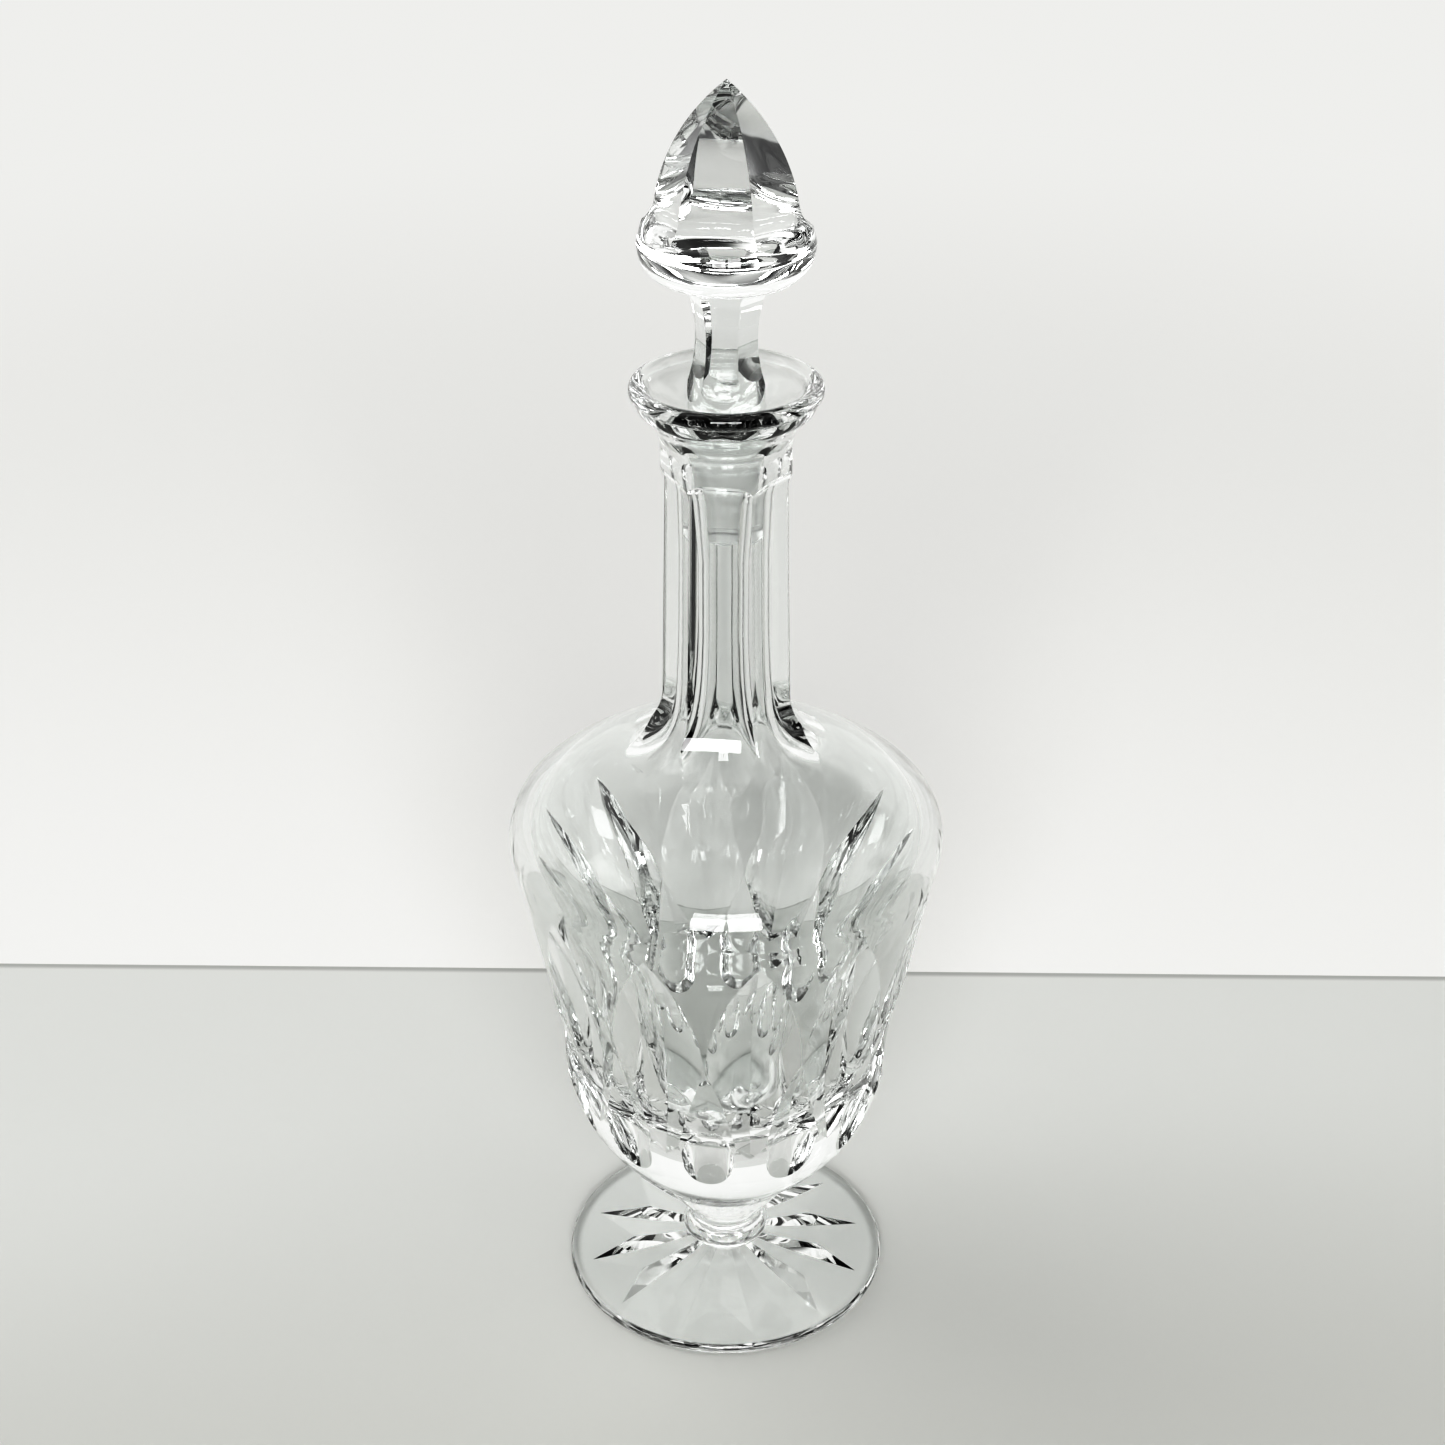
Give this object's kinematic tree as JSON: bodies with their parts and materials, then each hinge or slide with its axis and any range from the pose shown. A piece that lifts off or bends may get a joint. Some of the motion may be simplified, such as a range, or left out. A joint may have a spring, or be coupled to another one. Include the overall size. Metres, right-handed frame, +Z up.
{
  "type": "cut crystal decanter",
  "caption": "Cut crystal wine decanter: tapered bowl with long mitre cuts and olives, fluted neck, flared lip, star-cut foot, and a lift-off faceted ground stopper.",
  "frame": {"origin": "centre of the foot's underside, on the table", "axes": "+Z up the decanter's axis towards the stopper's point; -Y is the front, where a neck flute faces"},
  "size_m": [0.12, 0.12, 0.36],
  "materials": {
    "crystal": "polished clear crystal",
    "stopper_crystal": "polished clear crystal with a ground plug"
  },
  "bodies": {
    "decanter": {"foot": "crystal", "stem": "crystal", "bottle": "crystal", "lip_ring": "crystal"},
    "stopper": {"stopper": "stopper_crystal"}
  },
  "joints": [
    {"name": "stopper_lift", "type": "slide", "parent": "decanter", "child": "stopper", "axis": [0, 0, 1], "range_m": [0, 0.06]}
  ]
}
